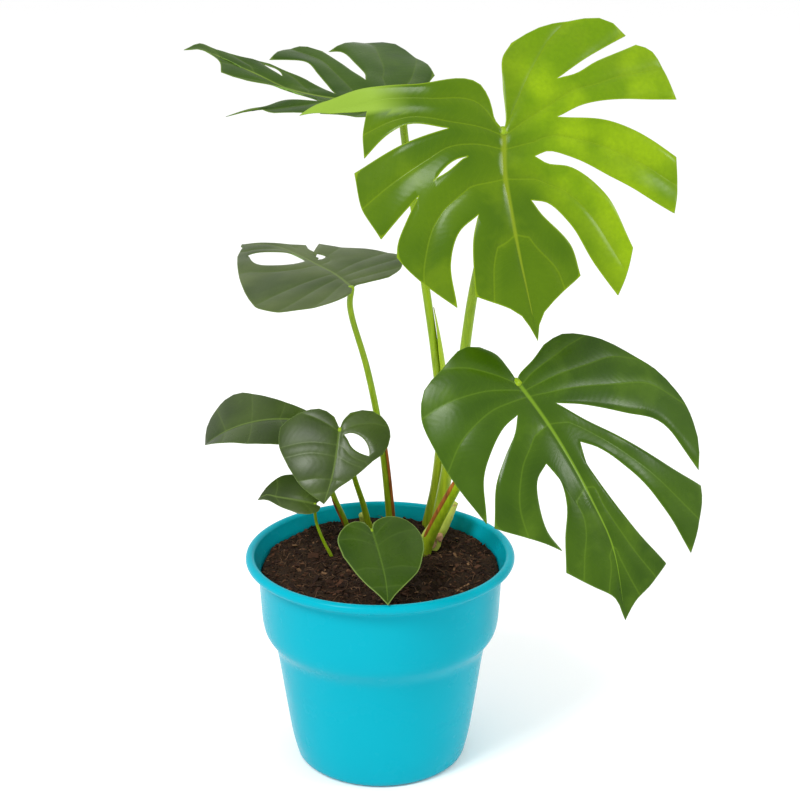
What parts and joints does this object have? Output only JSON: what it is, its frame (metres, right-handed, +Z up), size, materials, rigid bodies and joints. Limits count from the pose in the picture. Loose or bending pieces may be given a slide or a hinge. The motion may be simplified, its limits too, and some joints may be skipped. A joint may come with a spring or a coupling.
{
  "type": "potted plant",
  "caption": "Potted monstera: split and pierced green leaves on long slender petioles, rising from dark bark mix in a round turquoise plastic pot.",
  "frame": {"origin": "centre of the pot's flat underside", "axes": "+Z up along the pot's axis, the plant's front faces -Y, right is +X"},
  "size_m": [0.3104, 0.23, 0.4686],
  "materials": {
    "pot_plastic": "gloss",
    "bark_mix": "matte",
    "pale_stem": "satin",
    "stalk": "satin",
    "young_leaf": "satin",
    "deep_leaf": "satin",
    "grey_leaf": "satin"
  },
  "bodies": {
    "root": {"pot": "pot_plastic", "potting_mix": "bark_mix", "crown_main": "pale_stem", "crown_rear": "pale_stem", "leaf_1_blade": "young_leaf", "leaf_1_petiole": "stalk", "leaf_2_blade": "deep_leaf", "leaf_2_petiole": "stalk", "leaf_3_blade": "deep_leaf", "leaf_3_petiole": "stalk", "leaf_4_blade": "grey_leaf", "leaf_4_petiole": "stalk", "leaf_5_blade": "grey_leaf", "leaf_5_petiole": "stalk", "leaf_6_blade": "grey_leaf", "leaf_6_petiole": "stalk", "leaf_7_blade": "grey_leaf", "leaf_7_petiole": "stalk", "leaf_8_blade": "grey_leaf", "leaf_8_petiole": "stalk"}
  },
  "joints": []
}
